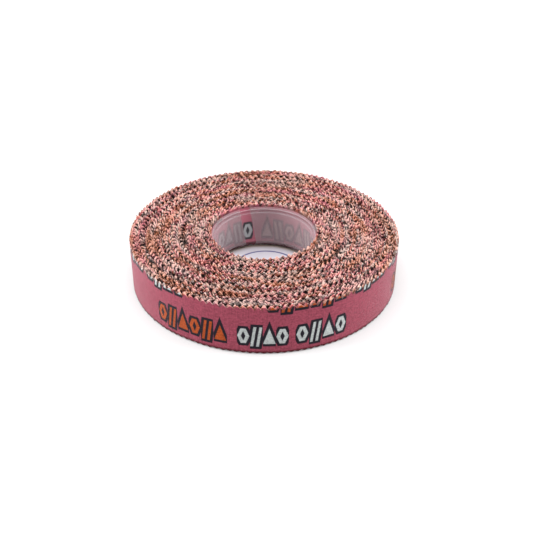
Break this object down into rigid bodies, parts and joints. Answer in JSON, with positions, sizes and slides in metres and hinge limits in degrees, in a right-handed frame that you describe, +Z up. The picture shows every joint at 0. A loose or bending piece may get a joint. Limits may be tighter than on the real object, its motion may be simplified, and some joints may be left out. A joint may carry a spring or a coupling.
{
  "type": "sports tape roll",
  "caption": "Roll of narrow printed cloth sports tape with pinked edges, on a clear plastic core over a round paper label; the tape's free end peels off in a curve.",
  "frame": {"origin": "on the core's axis, at the underside of the paper label, which is what the roll stands on", "axes": "+Z up along the core's axis, so the roll lies on its cut edges; -Y points at the viewer"},
  "size_m": [0.0683, 0.0685, 0.0131],
  "materials": {
    "tape_cloth": "matte",
    "core_plastic": "gloss",
    "liner_film": "satin",
    "label_paper": "satin"
  },
  "bodies": {
    "roll": {"wound_tape": "tape_cloth", "outer_turn": "tape_cloth", "core_ring": "core_plastic", "core_liner": "liner_film", "base_label": "label_paper"},
    "end_1": {"free_end_1": "tape_cloth"},
    "end_2": {"free_end_2": "tape_cloth"},
    "end_3": {"free_end_3": "tape_cloth"},
    "end_4": {"free_end_4": "tape_cloth"},
    "end_5": {"free_end_5": "tape_cloth"}
  },
  "joints": [
    {"name": "peel_1", "type": "hinge", "parent": "roll", "child": "end_1", "pos_m": [-0.00118, 0.03426, 0.0066], "axis": [0, 0, -1], "range_deg": [0, 30]},
    {"name": "peel_2", "type": "hinge", "parent": "end_1", "child": "end_2", "pos_m": [-0.01014, 0.03276, 0.0066], "axis": [0, 0, -1], "range_deg": [0, 30]},
    {"name": "peel_3", "type": "hinge", "parent": "end_2", "child": "end_3", "pos_m": [-0.01838, 0.02896, 0.0066], "axis": [0, 0, -1], "range_deg": [0, 30]},
    {"name": "peel_4", "type": "hinge", "parent": "end_3", "child": "end_4", "pos_m": [-0.02534, 0.02314, 0.0066], "axis": [0, 0, -1], "range_deg": [0, 30]},
    {"name": "peel_5", "type": "hinge", "parent": "end_4", "child": "end_5", "pos_m": [-0.03053, 0.01568, 0.0066], "axis": [0, 0, -1], "range_deg": [0, 30]}
  ],
  "couplings": [
    {"joint": "peel_2", "follows": "peel_1", "ratio": 1},
    {"joint": "peel_3", "follows": "peel_1", "ratio": 1},
    {"joint": "peel_4", "follows": "peel_1", "ratio": 1},
    {"joint": "peel_5", "follows": "peel_1", "ratio": 1}
  ]
}
